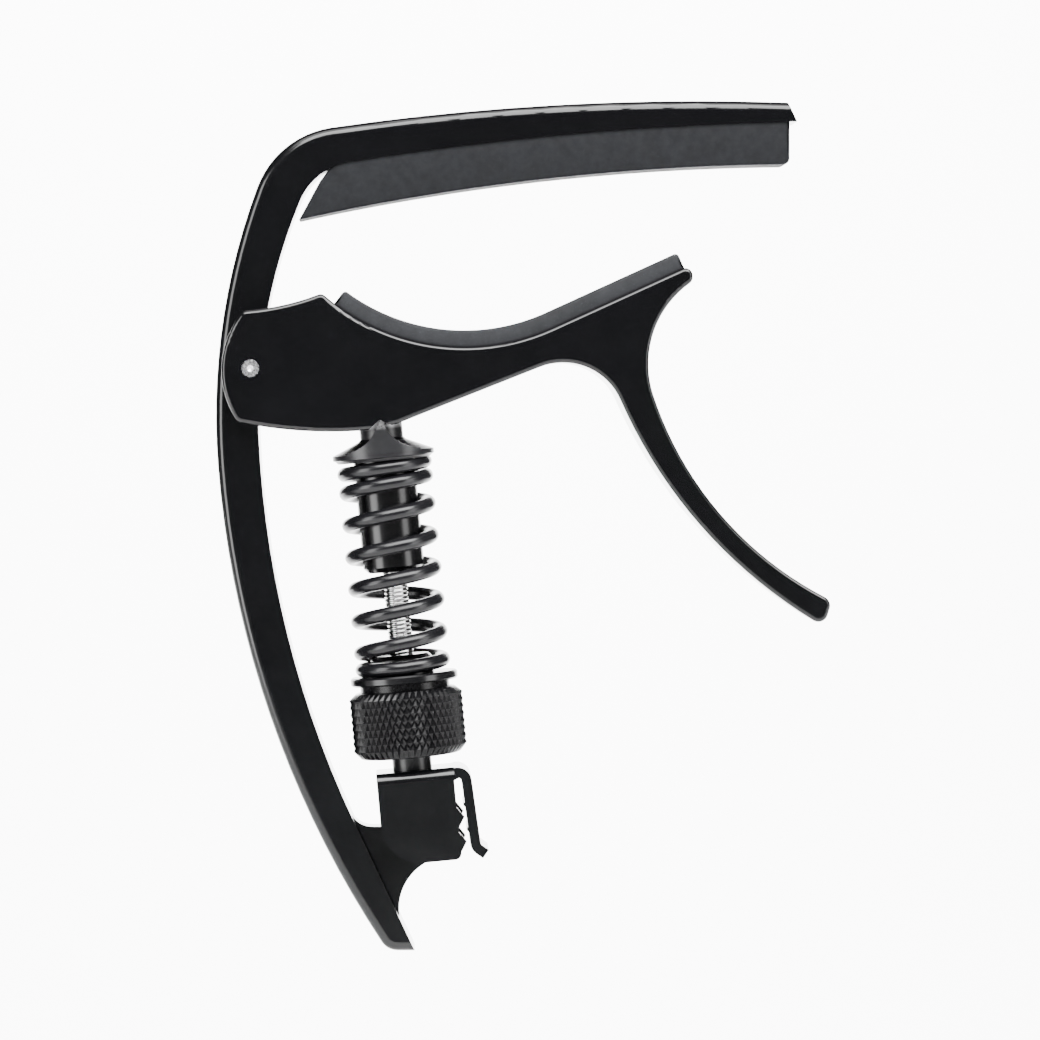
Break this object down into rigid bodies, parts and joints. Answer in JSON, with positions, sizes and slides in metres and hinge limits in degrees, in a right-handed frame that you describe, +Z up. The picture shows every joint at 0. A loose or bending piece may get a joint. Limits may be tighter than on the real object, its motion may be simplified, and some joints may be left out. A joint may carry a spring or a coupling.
{
  "type": "guitar capo",
  "caption": "Trigger guitar capo: hooked arm with a curved string pad, sprung saddle jaw with a squeeze handle, and a coil-spring strut with a knurled adjuster and pick clip.",
  "frame": {"origin": "middle of the string pad's contact face, where it presses on the strings", "axes": "+X along the string pad from the spine to the open end, +Y across the capo, +Z up from the neck to the arm"},
  "size_m": [0.0751, 0.014, 0.1042],
  "materials": {
    "cast_black": "satin black coating on a zinc casting",
    "string_rubber": "matt dark blue-grey silicone rubber",
    "neck_rubber": "matt dark grey silicone rubber",
    "bright_steel": "bright turned steel",
    "zinc_steel": "bright zinc-plated thread",
    "nylon": "black nylon",
    "seat_black": "satin dark grey coating",
    "tube_black": "satin black anodised",
    "spring_black": "gloss black coating on spring steel",
    "nut_black": "satin black knurled metal",
    "brass": "turned brass",
    "clip_black": "satin black coated sheet"
  },
  "bodies": {
    "frame": {"frame": "cast_black", "string_pad": "string_rubber", "rocker_pin": "bright_steel"},
    "jaw": {"jaw": "cast_black", "neck_pad": "neck_rubber", "pivot_pin": "bright_steel", "pivot_shims": "nylon"},
    "plunger": {"upper_seat": "seat_black", "guide_tube": "tube_black"},
    "strut": {"strut_foot": "seat_black", "threaded_rod": "zinc_steel", "pick_clip": "clip_black", "spring": "spring_black"},
    "seat": {"lower_seat": "tube_black", "thrust_washer": "nut_black"},
    "knob": {"knurled_nut": "nut_black", "nut_insert": "brass"}
  },
  "joints": [
    {"name": "jaw_pivot", "type": "hinge", "parent": "frame", "child": "jaw", "pos_m": [-0.0359, 0, -0.02316], "axis": [0, 1, 0], "range_deg": [0, 28], "stiffness_Nm_per_rad": 1.5, "springref_deg": -17.19, "deforming": ["spring"]},
    {"name": "plunger_tilt", "type": "hinge", "parent": "jaw", "child": "plunger", "pos_m": [-0.0201, 0, -0.02976], "axis": [0, 1, 0], "range_deg": [-35.47, 0.5]},
    {"name": "strut_swing", "type": "hinge", "parent": "frame", "child": "strut", "pos_m": [-0.01565, 0, -0.07806], "axis": [0, 1, 0], "range_deg": [-7.47, 0.5]},
    {"name": "seat_travel", "type": "slide", "parent": "strut", "child": "seat", "axis": [-0.0917, 0, 0.9958], "range_m": [-0.00101, 0.00201]},
    {"name": "knob_turn", "type": "hinge", "parent": "seat", "child": "knob", "pos_m": [-0.01666, 0, -0.06711], "axis": [-0.0917, 0, 0.9958], "range_deg": [-720, 1440]}
  ],
  "couplings": [
    {"joint": "plunger_tilt", "follows": "jaw_pivot", "ratio": -1.2491},
    {"joint": "strut_swing", "follows": "jaw_pivot", "ratio": -0.2491},
    {"joint": "seat_travel", "follows": "knob_turn", "m_per_rad": 0.000079577}
  ]
}
